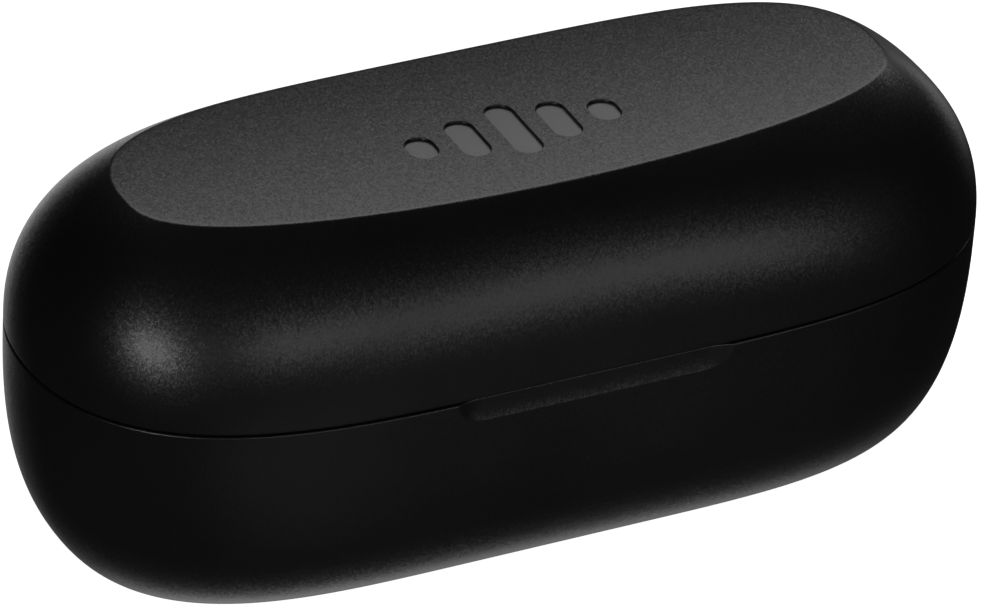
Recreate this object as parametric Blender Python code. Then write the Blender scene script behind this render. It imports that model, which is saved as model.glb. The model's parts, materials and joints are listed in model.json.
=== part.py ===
"""Wireless earbuds charging case: two hinged shells, a cradle with two pockets, sprung
charging contacts, magnets, and the cell and electronics under the cradle.

Metres, +Z up. The origin is the middle of the underside. The long side lies along X,
the thumb notch faces -Y, and the hinge runs along X at the +Y side.
"""

import math

import bmesh
import bpy
from mathutils import Matrix, Vector

MM = 0.001

# Outer form, in millimetres
HALF_LENGTH = 40.0
HALF_WIDTH = 17.3
PARTING_Z = 20.15       # height of the plane where lid and base meet
LID_RISE = 13.1         # parting plane to the flat facet on top
WALL = 1.8
SEAM = 0.15             # lid rim and base rim each stop this far from the parting plane
SLIP = 0.3              # room between pieces that rest on or in each other

# Plan outline: a straight share, then a curve with these powers. The facet's front edge
# is rounder at its ends than its rear edge.
SEAM_PLAN = (0.09, 3.78, 2.18)
FACET_FRONT_PLAN = (0.0, 1.95, 2.82)
FACET_REAR_PLAN = (0.0, 4.36, 2.54)
FACET_BLEND = 1.3       # how soon the lid's outline turns into the facet's
FOOT_PLAN = (0.20, 3.78, 2.18)

# How each half closes in away from the parting plane: height and power, lengthwise and across
LID_LENGTH_CURVE = (19.55, 2.30)
LID_WIDTH_CURVE = (16.0, 2.05)
FOOT_HALF_LENGTH = 29.2
FOOT_HALF_WIDTH = 6.3
BASE_LENGTH_POWER = 2.57
BASE_WIDTH_POWER = 2.78

# Mesh resolution
QUARTER_STEPS = 12
SHELL_LEVELS = 8
POCKET_SIDES = 24
ROUND_SIDES = 12

# Hinge, on a line along X
KNUCKLE_R = 1.1
HINGE_Y = HALF_WIDTH - KNUCKLE_R
PIN_R = 0.4
PIN_HOLE_R = 0.5
PIN_HALF_LENGTH = 11.6
LID_KNUCKLE_END = 7.7
BASE_KNUCKLE = (8.0, 12.0)
BEVEL_ANGLE = math.radians(48.5)    # rear edges of lid and base lean back this far each
BEVEL_END = 27.0
SWING_ROOM = 1.35                   # clear radius and depth round a knuckle

# Thumb notch, a capsule sunk into the front of the base
NOTCH_R = 7.4
NOTCH_STRAIGHT = 9.7
NOTCH_Y = -(HALF_WIDTH + NOTCH_R - 0.35)
NOTCH_Z = PARTING_Z + 0.3

# Cradle and liner plates
CRADLE_TOP = PARTING_Z - 0.35
PLATE = 1.4
LINER_BOTTOM = PARTING_Z + 0.4
LINER_PLATE = 1.2
HINGE_RELIEF_Y = HINGE_Y - SWING_ROOM - SLIP

# Pockets for the earbuds: centre, half sizes at the mouth, depth
POCKET_X = 19.5
POCKET_RX = 12.4
POCKET_RY = 11.2
POCKET_DEPTH = 11.0
POCKET_SKIN = 1.1
POCKET_FLOOR_SHARE = 0.62
WELL_X = 14.2                       # well for the nozzle and ear tip
WELL_Y = -4.6
WELL_R = 5.2
WELL_DEPTH = 14.4
RECESS_HEIGHT = 8.2                 # hollow in the liner above each pocket
RECESS_SHARE = 0.84                 # its size next to the pocket's
POCKET_FLOOR_Z = CRADLE_TOP - POCKET_DEPTH

# Charging contacts, two in each pocket floor
CONTACT_X = (22.4, 26.0)
CONTACT_Y = 3.2
BARREL_R = 0.75
BARREL_BORE_R = 0.6
BARREL_LENGTH = 3.3
PLUNGER_R = 0.42
PLUNGER_COLLAR_R = 0.5
PLUNGER_PROUD = 0.9
CONTACT_BOARD_Z = POCKET_FLOOR_Z - BARREL_LENGTH - SLIP
SPRING_TURNS = 4
SPRING_R = 0.4
SPRING_WIRE_R = 0.08

# Main board and what stands on it
BOARD_HALF = (24.0, 8.9)
BOARD_Z = (3.0, 3.8)
BOARD_TOP = BOARD_Z[1] + SLIP
SCREW_PLACES = ((-22.0, -6.2), (22.0, -6.2), (-10.5, 6.8), (10.5, 6.8))
BOSS_R = 1.7
SCREW_R = 0.6
SCREW_HEAD_R = 1.25
PORT_Z = 5.75
PORT_HALF = (4.47, 1.58)
PORT_SKIN = 0.3
PORT_Y = (7.0, 14.3)

# Cell, light pipe and magnets
CELL = ((-5.1, 5.1), (-5.8, 11.5), (7.7, 17.3))
PIPE_Y = -8.1
PIPE_HALF = (2.5, 0.8)
MAGNET_X = 9.2
MAGNET_HALF = (3.5, 1.0)
BASE_MAGNET_Y = -13.7
LID_MAGNET_Y = -13.1
MAGNET_HEIGHT = 2.0


# Scene and materials

def clear_scene():
    for obj in list(bpy.data.objects):
        bpy.data.objects.remove(obj, do_unlink=True)


def make_material(name, colour, roughness, metallic=0.0):
    material = bpy.data.materials.new(name)
    material.use_nodes = True
    shader = material.node_tree.nodes["Principled BSDF"]
    shader.inputs["Base Color"].default_value = (*colour, 1.0)
    shader.inputs["Roughness"].default_value = roughness
    shader.inputs["Metallic"].default_value = metallic
    return material


# Meshes

def new_object(name, bm, material, smooth=True):
    """A named object from a bmesh that is in millimetres."""
    bmesh.ops.recalc_face_normals(bm, faces=bm.faces)
    bmesh.ops.scale(bm, vec=(MM, MM, MM), verts=bm.verts)
    mesh = bpy.data.meshes.new(name)
    bm.to_mesh(mesh)
    bm.free()
    if smooth:
        mesh.shade_smooth()
        mesh.set_sharp_from_angle(angle=math.radians(35))
    obj = bpy.data.objects.new(name, mesh)
    bpy.context.scene.collection.objects.link(obj)
    if material:
        mesh.materials.append(material)
    return obj


def loft(rings):
    """A closed bmesh through rings of equal count, with a flat cap at each end.
    A ring that is one point closes with a fan."""
    bm = bmesh.new()
    made = [[bm.verts.new(point) for point in ring] for ring in rings]
    for low, high in zip(made, made[1:]):
        count = max(len(low), len(high))
        for i in range(count):
            j = (i + 1) % count
            if len(high) == 1:
                bm.faces.new((low[i], low[j], high[0]))
            elif len(low) == 1:
                bm.faces.new((low[0], high[j], high[i]))
            else:
                bm.faces.new((low[i], low[j], high[j], high[i]))
    for end in (made[0], made[-1]):
        if len(end) > 1:
            bm.faces.new(end)
    return bm


def box_mesh(x, y, z, bevel=0.0):
    """A box between the limits of each axis, with its edges bevelled."""
    corners = [(x[0], y[0]), (x[1], y[0]), (x[1], y[1]), (x[0], y[1])]
    bm = loft([[(a, b, z[0]) for a, b in corners], [(a, b, z[1]) for a, b in corners]])
    if bevel:
        bmesh.ops.bevel(bm, geom=bm.edges[:], offset=bevel, segments=1, affect="EDGES")
    return bm


def circle(x, y, z, radius, sides=ROUND_SIDES):
    """A level ring of points round (x, y)."""
    turns = [2 * math.pi * i / sides for i in range(sides)]
    return [(x + radius * math.cos(t), y + radius * math.sin(t), z) for t in turns]


def turned(x, y, profile, sides=ROUND_SIDES):
    """A solid of revolution about the upright line at (x, y). The profile is (radius, z)."""
    return loft([circle(x, y, z, r, sides) if r else [(x, y, z)] for r, z in profile])


def along_x(y, z, profile, sides=ROUND_SIDES):
    """A solid of revolution about a line along X. The profile is (radius, x)."""
    def ring(radius, x):
        turns = [2 * math.pi * i / sides for i in range(sides)]
        return [(x, y + radius * math.cos(t), z + radius * math.sin(t)) for t in turns]
    return loft([ring(r, x) if r else [(x, y, z)] for r, x in profile])


def slot_outline(half_x, half_y, corner, steps=4):
    """A rectangle with round corners, as (x, y) points round the origin."""
    points = []
    for quarter, (sx, sy) in enumerate(((1, 1), (-1, 1), (-1, -1), (1, -1))):
        for step in range(steps + 1):
            turn = math.pi / 2 * (quarter + step / steps)
            points.append((sx * (half_x - corner) + corner * math.cos(turn),
                           sy * (half_y - corner) + corner * math.sin(turn)))
    return points


def plate_mesh(outline, centre, z):
    """An upright prism of a level outline."""
    return loft([[(centre[0] + a, centre[1] + b, level) for a, b in outline] for level in z])


# Booleans

def helper(bm, name):
    """A cutter or an added body, which is left out of the model itself."""
    obj = new_object(name, bm, None, smooth=False)
    obj.hide_render = True
    obj.display_type = "WIRE"
    return obj


def boolean(obj, bm, operation):
    label = f"{obj.name}_{operation.lower()}_{len(obj.modifiers)}"
    modifier = obj.modifiers.new(label, "BOOLEAN")
    modifier.operation = operation
    modifier.object = helper(bm, label)


def cut(obj, *meshes):
    for bm in meshes:
        boolean(obj, bm, "DIFFERENCE")


def join(obj, *meshes):
    for bm in meshes:
        boolean(obj, bm, "UNION")


# The outer form

def quarter_places():
    """Places along a quarter of the plan outline, evenly spaced at the parting plane.
    Each is (share of the straight, angle), from the middle of a long side to an end."""
    straight, end_power, side_power = SEAM_PLAN
    fine = 400
    places = [(i / fine, math.pi / 2) for i in range(fine)]
    places += [(1.0, math.pi / 2 * (1 - i / fine)) for i in range(fine + 1)]

    def point(place):
        share, angle = place
        return Vector((
            HALF_LENGTH * (share * straight + (1 - straight) * math.cos(angle) ** (2 / end_power)),
            HALF_WIDTH * math.sin(angle) ** (2 / side_power)))

    lengths = [0.0]
    for a, b in zip(places, places[1:]):
        lengths.append(lengths[-1] + (point(b) - point(a)).length)
    chosen = []
    for step in range(QUARTER_STEPS + 1):
        target = lengths[-1] * step / QUARTER_STEPS
        chosen.append(places[min(range(len(places)), key=lambda i: abs(lengths[i] - target))])
    chosen[-1] = (1.0, 0.0)
    return chosen


QUARTER = quarter_places()


def plan_point(place, plan, half_length, half_width):
    straight, end_power, side_power = plan
    share, angle = place
    cosine = max(0.0, math.cos(angle))
    return (half_length * (share * straight + (1 - straight) * cosine ** (2 / end_power)),
            half_width * max(0.0, math.sin(angle)) ** (2 / side_power))


def all_round(rear, front=None):
    """One ring from a rear quarter and a front quarter, both given as points (x, y, z) of
    the +X +Y quarter. One quarter alone serves for both."""
    front = front or rear
    ring = rear[:-1]
    ring += [(x, -y, z) for x, y, z in front[::-1][:-1]]
    ring += [(-x, -y, z) for x, y, z in front[:-1]]
    ring += [(-x, y, z) for x, y, z in rear[::-1][:-1]]
    return ring


def mixed_plan(first, second, share):
    return tuple(a + (b - a) * share for a, b in zip(first, second))


def closing(share, power):
    """1 at the parting plane, falling to 0 where share reaches 1."""
    return max(0.0, 1.0 - min(1.0, share) ** power) ** (1.0 / power)


def lid_point(place, height, inset, facet_plan):
    """A point of the lid's surface, a height above the parting plane."""
    plan = mixed_plan(SEAM_PLAN, facet_plan, min(1.0, height / LID_RISE) ** FACET_BLEND)
    length_h, length_power = LID_LENGTH_CURVE
    width_h, width_power = LID_WIDTH_CURVE
    x, y = plan_point(
        place, plan,
        (HALF_LENGTH - inset) * closing(height / (length_h - inset), length_power),
        (HALF_WIDTH - inset) * closing(height / (width_h - inset), width_power))
    return x, y, PARTING_Z + height


def lid_ring(height, inset):
    rear, front = ([lid_point(place, height, inset, plan) for place in QUARTER]
                   for plan in (FACET_REAR_PLAN, FACET_FRONT_PLAN))
    return all_round(rear, front)


def lid_rings(inset, start):
    """Rings up the lid's side from a height above the parting plane to the facet's edge."""
    top = LID_RISE - inset
    return [lid_ring(start + (top - start) * level / SHELL_LEVELS, inset)
            for level in range(SHELL_LEVELS + 1)]


def base_point(place, depth, inset):
    """A point of the base's surface, a depth below the parting plane."""
    full = PARTING_Z - inset
    plan = mixed_plan(SEAM_PLAN, FOOT_PLAN, min(1.0, depth / full) ** 2)
    foot_length = FOOT_HALF_LENGTH - inset / 2
    foot_width = FOOT_HALF_WIDTH - inset / 2
    x, y = plan_point(
        place, plan,
        foot_length + (HALF_LENGTH - inset - foot_length) * closing(depth / full, BASE_LENGTH_POWER),
        foot_width + (HALF_WIDTH - inset - foot_width) * closing(depth / full, BASE_WIDTH_POWER))
    return x, y, PARTING_Z - depth


def base_rings(inset, start):
    """Rings from a depth below the parting plane down to the floor, closer near the floor."""
    full = PARTING_Z - inset
    first = math.asin(start / full)
    rings = []
    for level in range(SHELL_LEVELS + 1):
        depth = full * math.sin(first + (math.pi / 2 - first) * level / SHELL_LEVELS)
        rings.append(all_round([base_point(place, depth, inset) for place in QUARTER]))
    return rings


# Hinge shapes shared by both shells

def wedge(side):
    """What is taken off a rear edge so that the lid can lean back. side is +1 above the
    parting plane and -1 below it."""
    reach = 4.0
    fall = reach * math.tan(BEVEL_ANGLE)
    start = PARTING_Z + side * SEAM
    corners = [(HINGE_Y, start - side), (HINGE_Y, start),
               (HINGE_Y + reach, start + side * fall), (HINGE_Y + reach, start - side)]
    meshes = []
    for end in (-1, 1):
        inner, outer = end * (BASE_KNUCKLE[1] + SEAM), end * BEVEL_END
        meshes.append(loft([[(x, y, z) for y, z in corners] for x in (inner, outer)]))
    return meshes


def knuckle(start, end, radius):
    return along_x(HINGE_Y, PARTING_Z, [(radius, start), (radius, end)], 20)


def swing_window(start, end, side):
    """Room for a knuckle of the other half, through the rear wall."""
    depth = KNUCKLE_R + 0.5
    limits = sorted((PARTING_Z + side * depth, PARTING_Z - side * depth))
    return box_mesh((start, end), (HINGE_Y - SWING_ROOM, HALF_WIDTH + 2), limits)


def pin_hole():
    reach = BASE_KNUCKLE[1] + 1
    return knuckle(-reach, reach, PIN_HOLE_R)


# Shells

def make_base_shell(material):
    outer = base_rings(0.0, SEAM)
    inner = base_rings(WALL, SEAM)
    shell = new_object("base_shell", loft(outer[::-1] + inner), material)
    join(shell, *[turned(x, y, [(BOSS_R, 1.2), (BOSS_R, BOARD_Z[0] - SLIP)])
                  for x, y in SCREW_PLACES])
    cut(shell, *[turned(x, y, [(SCREW_R + 0.1, 1.3), (SCREW_R + 0.1, 4.0)], 12)
                 for x, y in SCREW_PLACES])
    cut(shell, swing_window(-LID_KNUCKLE_END - SEAM, LID_KNUCKLE_END + SEAM, -1))
    cut(shell, *wedge(-1))
    for side in (-1, 1):
        ends = sorted(side * x for x in BASE_KNUCKLE)
        join(shell, knuckle(*ends, KNUCKLE_R))
    cut(shell, pin_hole())
    cut(shell, notch_mesh(), port_hole())
    return shell


def notch_mesh():
    """A capsule along X, whose lower inner quarter scoops the front of the base."""
    steps = 5
    profile = [(0, -(NOTCH_STRAIGHT + NOTCH_R))]
    for step in range(1, steps + 1):
        turn = math.pi / 2 * step / steps
        profile.append((NOTCH_R * math.sin(turn), -NOTCH_STRAIGHT - NOTCH_R * math.cos(turn)))
    profile += [(r, -x) for r, x in profile[::-1]]
    return along_x(NOTCH_Y, NOTCH_Z, profile, 28)


def port_hole():
    """The opening that the charging plug goes in through."""
    room = 0.35
    outline = slot_outline(PORT_HALF[0] + room, PORT_HALF[1] + room, PORT_HALF[1] + room - 0.05, 5)
    return loft([[(a, y, PORT_Z + b) for a, b in outline] for y in (PORT_Y[1] - 3, HALF_WIDTH + 2)])


def make_lid_shell(material):
    outer = lid_rings(0.0, SEAM)
    inner = lid_rings(WALL, SEAM)
    shell = new_object("lid_shell", loft(outer[::-1] + inner), material)
    for side in (-1, 1):
        ends = sorted((side * (LID_KNUCKLE_END + SEAM), side * (BASE_KNUCKLE[1] + SEAM)))
        cut(shell, swing_window(*ends, 1))
    cut(shell, *wedge(1))
    join(shell, knuckle(-LID_KNUCKLE_END, LID_KNUCKLE_END, KNUCKLE_R))
    cut(shell, pin_hole())
    return shell


def make_hinge_pin(material):
    ends = PIN_HALF_LENGTH - 0.15
    profile = [(PIN_R - 0.12, -PIN_HALF_LENGTH), (PIN_R, -ends), (PIN_R, ends),
               (PIN_R - 0.12, PIN_HALF_LENGTH)]
    return new_object("hinge_pin", along_x(HINGE_Y, PARTING_Z, profile), material)


# Cradle and liner

def pocket_ring(side, share, z, grow, size):
    """A ring of the pocket's oval. share is 1 at the mouth and 0 at the floor's edge."""
    size *= POCKET_FLOOR_SHARE + (1 - POCKET_FLOOR_SHARE) * share
    turns = [2 * math.pi * i / POCKET_SIDES for i in range(POCKET_SIDES)]
    power = 2 / 2.3
    points = []
    for turn in turns:
        a, b = math.cos(turn), math.sin(turn)
        points.append((
            side * POCKET_X + (POCKET_RX * size + grow) * math.copysign(abs(a) ** power, a),
            (POCKET_RY * size + grow) * math.copysign(abs(b) ** power, b), z))
    return points


def pocket_mesh(side, mouth_z, floor_z, grow, beyond, size=1.0):
    """The oval hollow from its mouth to its floor, either way up, going beyond the mouth."""
    levels = 5
    reach = floor_z - mouth_z
    rings = [pocket_ring(side, 1.0, mouth_z - math.copysign(beyond, reach), grow, size)]
    for level in range(levels + 1):
        depth = math.sin(math.pi / 2 * level / levels)
        rings.append(pocket_ring(side, closing(depth, 2.6), mouth_z + reach * depth, grow, size))
    return loft(rings)


def well_mesh(side, top, bottom, grow):
    """The round well for the nozzle, with a rounded bottom."""
    radius = WELL_R + grow
    profile = [(radius, top), (radius, bottom + 2.0), (radius - 0.5, bottom + 0.7),
               (radius - 1.8, bottom)]
    return turned(side * WELL_X, WELL_Y, profile, POCKET_SIDES)


def hinge_relief(z):
    """Room for the knuckles behind a plate."""
    return box_mesh((-BASE_KNUCKLE[1] - 0.8, BASE_KNUCKLE[1] + 0.8),
                    (HINGE_RELIEF_Y, HALF_WIDTH), z)


def make_cradle(material):
    inset = WALL + SLIP
    depths = (PARTING_Z - CRADLE_TOP, PARTING_Z - CRADLE_TOP + PLATE)
    plate = [all_round([base_point(place, depth, inset) for place in QUARTER]) for depth in depths]
    cradle = new_object("cradle", loft(plate), material)
    for side in (-1, 1):
        join(cradle, pocket_mesh(side, CRADLE_TOP - PLATE / 2, POCKET_FLOOR_Z - POCKET_SKIN,
                                 POCKET_SKIN, 0.0))
        join(cradle, well_mesh(side, CRADLE_TOP - POCKET_DEPTH / 2,
                               CRADLE_TOP - WELL_DEPTH - POCKET_SKIN, POCKET_SKIN))
    for side in (-1, 1):
        cut(cradle, pocket_mesh(side, CRADLE_TOP, POCKET_FLOOR_Z, 0.0, 1.0))
        cut(cradle, well_mesh(side, CRADLE_TOP - POCKET_DEPTH / 2 + 1, CRADLE_TOP - WELL_DEPTH, 0.0))
        cut(cradle, *[turned(side * x, CONTACT_Y,
                             [(BARREL_R + 0.12, POCKET_FLOOR_Z - 3),
                              (BARREL_R + 0.12, POCKET_FLOOR_Z + 1)], 12) for x in CONTACT_X])
    window = slot_outline(PIPE_HALF[0] + 0.15, PIPE_HALF[1] + 0.15, PIPE_HALF[1] + 0.1)
    cut(cradle, plate_mesh(window, (0, PIPE_Y), (CRADLE_TOP - 3, CRADLE_TOP + 1)))
    cut(cradle, hinge_relief((CRADLE_TOP - 3, CRADLE_TOP + 1)))
    return cradle


def make_lid_liner(material):
    inset = WALL + SLIP
    bottom = LINER_BOTTOM - PARTING_Z
    plate = [lid_ring(height, inset) for height in (bottom, bottom + LINER_PLATE)]
    liner = new_object("lid_liner", loft(plate), material)
    roof = LINER_BOTTOM + RECESS_HEIGHT
    for side in (-1, 1):
        join(liner, pocket_mesh(side, LINER_BOTTOM + LINER_PLATE / 2, roof + POCKET_SKIN,
                                POCKET_SKIN, 0.0, RECESS_SHARE))
    for side in (-1, 1):
        cut(liner, pocket_mesh(side, LINER_BOTTOM, roof, 0.0, 1.0, RECESS_SHARE))
    cut(liner, hinge_relief((LINER_BOTTOM - 1, LINER_BOTTOM + 3)))
    return liner


# Charging contacts

def contact_barrel_mesh():
    """A closed-bottom tube with its mouth at z = 0 and an inward lip that keeps the plunger."""
    bottom = -BARREL_LENGTH
    return turned(0, 0, [(BARREL_R, bottom), (BARREL_R, 0), (PLUNGER_R + 0.06, 0),
                         (PLUNGER_R + 0.06, -0.3), (BARREL_BORE_R, -0.3),
                         (BARREL_BORE_R, bottom + 0.4)])


def contact_plunger_mesh():
    """A round-nosed pin whose collar sits under the barrel's lip."""
    collar_top = -0.36
    collar_bottom = -0.85
    return turned(0, 0, [(PLUNGER_COLLAR_R, collar_bottom), (PLUNGER_COLLAR_R, collar_top),
                         (PLUNGER_R - 0.02, collar_top), (PLUNGER_R - 0.02, PLUNGER_PROUD - 0.25),
                         (PLUNGER_R - 0.14, PLUNGER_PROUD - 0.06), (0, PLUNGER_PROUD)], 14)


def contact_spring_mesh():
    """A compression spring between the barrel's floor and the plunger's collar."""
    bottom = -BARREL_LENGTH + 0.4 + SPRING_WIRE_R + 0.05
    top = -0.85 - SPRING_WIRE_R - 0.05
    steps = SPRING_TURNS * 8
    sides = 4
    rings = []
    for step in range(steps + 1):
        turn = 2 * math.pi * SPRING_TURNS * step / steps
        outward = Vector((math.cos(turn), math.sin(turn), 0))
        centre = outward * SPRING_R + Vector((0, 0, bottom + (top - bottom) * step / steps))
        rings.append([tuple(centre + outward * SPRING_WIRE_R * math.cos(a)
                            + Vector((0, 0, SPRING_WIRE_R * math.sin(a))))
                      for a in (2 * math.pi * i / sides for i in range(sides))])
    return loft(rings)


def make_contacts(gold, steel):
    """Each contact is a barrel, a plunger that slides in it, and a spring."""
    barrel = contact_barrel_mesh()
    plunger = contact_plunger_mesh()
    spring = contact_spring_mesh()
    kinds = (("contact_barrel", barrel, gold), ("contact_plunger", plunger, gold),
             ("contact_spring", spring, steel))
    for side, side_name in ((-1, "left"), (1, "right")):
        for x, place in zip(CONTACT_X, ("inner", "outer")):
            for kind, bm, material in kinds:
                obj = new_object(f"{kind}_{side_name}_{place}", bm.copy(), material)
                obj.location = (side * x * MM, CONTACT_Y * MM, POCKET_FLOOR_Z * MM)


def make_contact_boards(board_material, flex_material):
    """The small board under each pocket's contacts, and the ribbon from it to the main board."""
    for side, side_name in ((-1, "left"), (1, "right")):
        limits = sorted((side * 20.6, side * 27.9))
        board = box_mesh(limits, (1.0, 5.4), (CONTACT_BOARD_Z - 0.8, CONTACT_BOARD_Z))
        new_object(f"contact_board_{side_name}", board, board_material)
        new_object(f"contact_ribbon_{side_name}", ribbon_mesh(side), flex_material)


def ribbon_mesh(side):
    """A flat flexible strip that leaves the small board's edge and curves down to the main board."""
    start = (20.3, CONTACT_BOARD_Z - 0.4)
    end = (16.2, BOARD_TOP + 0.12)
    steps = 8
    thick = 0.12
    upper, lower = [], []
    for step in range(steps + 1):
        t = step / steps
        ease = t * t * (3 - 2 * t)
        x = start[0] + (end[0] - start[0]) * t
        z = start[1] + (end[1] - start[1]) * ease
        upper.append((side * x, z + thick))
        lower.append((side * x, z - thick))
    outline = upper + lower[::-1]
    return loft([[(x, y, z) for x, z in outline] for y in (2.2, 4.6)])


# Main board and its components

def make_main_board(material):
    board = new_object("main_board", plate_mesh(slot_outline(*BOARD_HALF, 3.0), (0, 0), BOARD_Z),
                       material)
    cut(board, *[turned(x, y, [(SCREW_R + 0.3, BOARD_Z[0] - 1), (SCREW_R + 0.3, BOARD_Z[1] + 1)])
                 for x, y in SCREW_PLACES])
    return board


def make_screws(material):
    """Pan-head screws through the main board into the base's bosses."""
    top = BOARD_TOP + 0.7
    profile = [(SCREW_R - 0.15, 1.55), (SCREW_R - 0.02, 1.8), (SCREW_R - 0.02, BOARD_TOP),
               (SCREW_HEAD_R, BOARD_TOP), (SCREW_HEAD_R, top - 0.25), (SCREW_HEAD_R - 0.35, top),
               (0.45, top), (0.35, top - 0.4)]
    for number, (x, y) in enumerate(SCREW_PLACES, 1):
        new_object(f"board_screw_{number}", turned(x, y, profile), material)


def make_chips(black, grey, white):
    """Components on the main board: name, centre, half sizes, height, material."""
    chips = (("charge_chip", (-3.1, 2.6), (1.9, 1.9), 0.8, black),
             ("control_chip", (2.7, 2.4), (2.3, 2.3), 0.8, black),
             ("boost_chip", (2.4, -3.3), (1.5, 1.5), 0.8, black),
             ("power_inductor", (-3.2, -3.4), (1.8, 1.8), 1.8, grey),
             ("lid_sensor", (6.6, -7.4), (0.7, 0.8), 0.55, black),
             ("status_led_left", (-1.2, -7.9), (0.5, 0.7), 0.5, white),
             ("status_led_right", (1.2, -7.9), (0.5, 0.7), 0.5, white))
    for name, (x, y), (half_x, half_y), height, material in chips:
        bm = box_mesh((x - half_x, x + half_x), (y - half_y, y + half_y),
                      (BOARD_TOP, BOARD_TOP + height), 0.12)
        new_object(name, bm, material)


def make_port(steel, black):
    """The charging socket: a pressed steel sleeve round a moulded tongue."""
    def ring(inset, y):
        outline = slot_outline(PORT_HALF[0] - inset, PORT_HALF[1] - inset,
                               PORT_HALF[1] - inset - 0.05, 5)
        return [(a, y, PORT_Z + b) for a, b in outline]

    back, mouth = PORT_Y
    sleeve = [ring(PORT_SKIN, back + 0.3), ring(0.0, back + 0.3), ring(0.0, mouth),
              ring(PORT_SKIN, mouth)]
    bm = loft(sleeve)
    bmesh.ops.delete(bm, geom=[f for f in bm.faces if len(f.verts) > 4], context="FACES_ONLY")
    edges = [e for e in bm.edges if e.is_boundary]
    bmesh.ops.bridge_loops(bm, edges=edges)
    new_object("port_sleeve", bm, steel)

    room = PORT_SKIN + 0.15
    tongue = new_object("port_tongue", loft([ring(room, back), ring(room, back + 2.2)]), black)
    join(tongue, box_mesh((-3.3, 3.3), (back + 1, mouth - 0.8), (PORT_Z - 0.35, PORT_Z + 0.35)))


# Cell, leads, light pipe and magnets

def make_cell(foil, foam, board, red, black):
    new_object("battery_cell", box_mesh(*CELL, 1.1), foil)
    pad_z = (CELL[2][1] + SLIP, CRADLE_TOP - PLATE - SLIP)
    new_object("battery_foam", box_mesh((-4.4, 4.4), (-5.5, 9.5), pad_z), foam)
    front = CELL[1][0]
    new_object("battery_board",
               box_mesh((-4.9, 4.9), (front - 1.0, front - SLIP), (11.6, 14.8)), board)
    for name, side, material in (("battery_lead_positive", -1, red),
                                 ("battery_lead_negative", 1, black)):
        make_lead(name, side, front - 0.65, material)


def make_lead(name, side, y, material):
    """An insulated wire from the cell's board down to the main board, bowed a little outward."""
    curve = bpy.data.curves.new(name, "CURVE")
    curve.dimensions = "3D"
    curve.bevel_depth = 0.35 * MM
    curve.bevel_resolution = 1
    curve.use_fill_caps = True
    spline = curve.splines.new("POLY")
    top, bottom = 11.25, BOARD_TOP + 0.05
    steps = 10
    spline.points.add(steps)
    for step, point in enumerate(spline.points):
        share = step / steps
        bow = 0.9 * math.sin(math.pi * share) ** 2
        point.co = (side * (4.0 + bow) * MM, y * MM, (top + (bottom - top) * share) * MM, 1)
    obj = bpy.data.objects.new(name, curve)
    bpy.context.scene.collection.objects.link(obj)
    curve.materials.append(material)


def make_light_pipe(material):
    outline = slot_outline(*PIPE_HALF, PIPE_HALF[1] - 0.05)
    new_object("light_pipe", plate_mesh(outline, (0, PIPE_Y), (BOARD_TOP + 0.8, CRADLE_TOP)),
               material)


def make_magnets(material):
    half_x, half_y = MAGNET_HALF
    lid_z = LINER_BOTTOM + LINER_PLATE + SLIP
    base_z = CRADLE_TOP - PLATE - SLIP - MAGNET_HEIGHT
    rows = (("base_magnet", BASE_MAGNET_Y, base_z), ("lid_magnet", LID_MAGNET_Y, lid_z))
    for side, side_name in ((-1, "left"), (1, "right")):
        for kind, y, z in rows:
            x = side * MAGNET_X
            bm = box_mesh((x - half_x, x + half_x), (y - half_y, y + half_y),
                          (z, z + MAGNET_HEIGHT), 0.2)
            new_object(f"{kind}_{side_name}", bm, material)
        under = POCKET_FLOOR_Z - POCKET_SKIN - SLIP
        disc = turned(side * 18.0, 5.0, [(2.3, under - 1.5), (2.3, under)], 20)
        new_object(f"pocket_magnet_{side_name}", disc, material)


def hang_lid_on_hinge(names):
    """Parents the lid's pieces to an empty on the hinge line."""
    axis = bpy.data.objects.new("lid_axis", None)
    axis.location = (0, HINGE_Y * MM, PARTING_Z * MM)
    bpy.context.scene.collection.objects.link(axis)
    for name in names:
        obj = bpy.data.objects[name]
        obj.data.transform(Matrix.Translation(-axis.location))
        obj.parent = axis


def main():
    clear_scene()
    case_black = make_material("case_black", (0.012, 0.012, 0.013), 0.45)
    cradle_black = make_material("cradle_black", (0.015, 0.015, 0.016), 0.5)
    steel = make_material("steel", (0.6, 0.6, 0.62), 0.3, 1.0)
    gold = make_material("gold_plate", (0.83, 0.62, 0.28), 0.25, 1.0)
    nickel = make_material("magnet_nickel", (0.66, 0.65, 0.62), 0.25, 1.0)
    board_green = make_material("board_green", (0.01, 0.09, 0.04), 0.4)
    flex_amber = make_material("flex_amber", (0.42, 0.18, 0.03), 0.35)
    chip_black = make_material("chip_black", (0.02, 0.02, 0.022), 0.5)
    ferrite = make_material("ferrite_grey", (0.12, 0.12, 0.125), 0.6)
    led_white = make_material("led_white", (0.85, 0.85, 0.8), 0.3)
    pipe_clear = make_material("pipe_clear", (0.75, 0.77, 0.78), 0.3)
    foil = make_material("cell_foil", (0.62, 0.63, 0.65), 0.35, 1.0)
    foam = make_material("foam_black", (0.03, 0.03, 0.03), 0.95)
    wire_red = make_material("wire_red", (0.55, 0.02, 0.02), 0.4)
    wire_black = make_material("wire_black", (0.02, 0.02, 0.02), 0.4)

    make_base_shell(case_black)
    make_cradle(cradle_black)
    make_hinge_pin(steel)
    make_lid_shell(case_black)
    make_lid_liner(cradle_black)
    make_contacts(gold, steel)
    make_contact_boards(board_green, flex_amber)
    make_main_board(board_green)
    make_screws(steel)
    make_chips(chip_black, ferrite, led_white)
    make_port(steel, chip_black)
    make_cell(foil, foam, board_green, wire_red, wire_black)
    make_light_pipe(pipe_clear)
    make_magnets(nickel)
    hang_lid_on_hinge(["lid_shell", "lid_liner", "lid_magnet_left", "lid_magnet_right"])


main()
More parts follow.
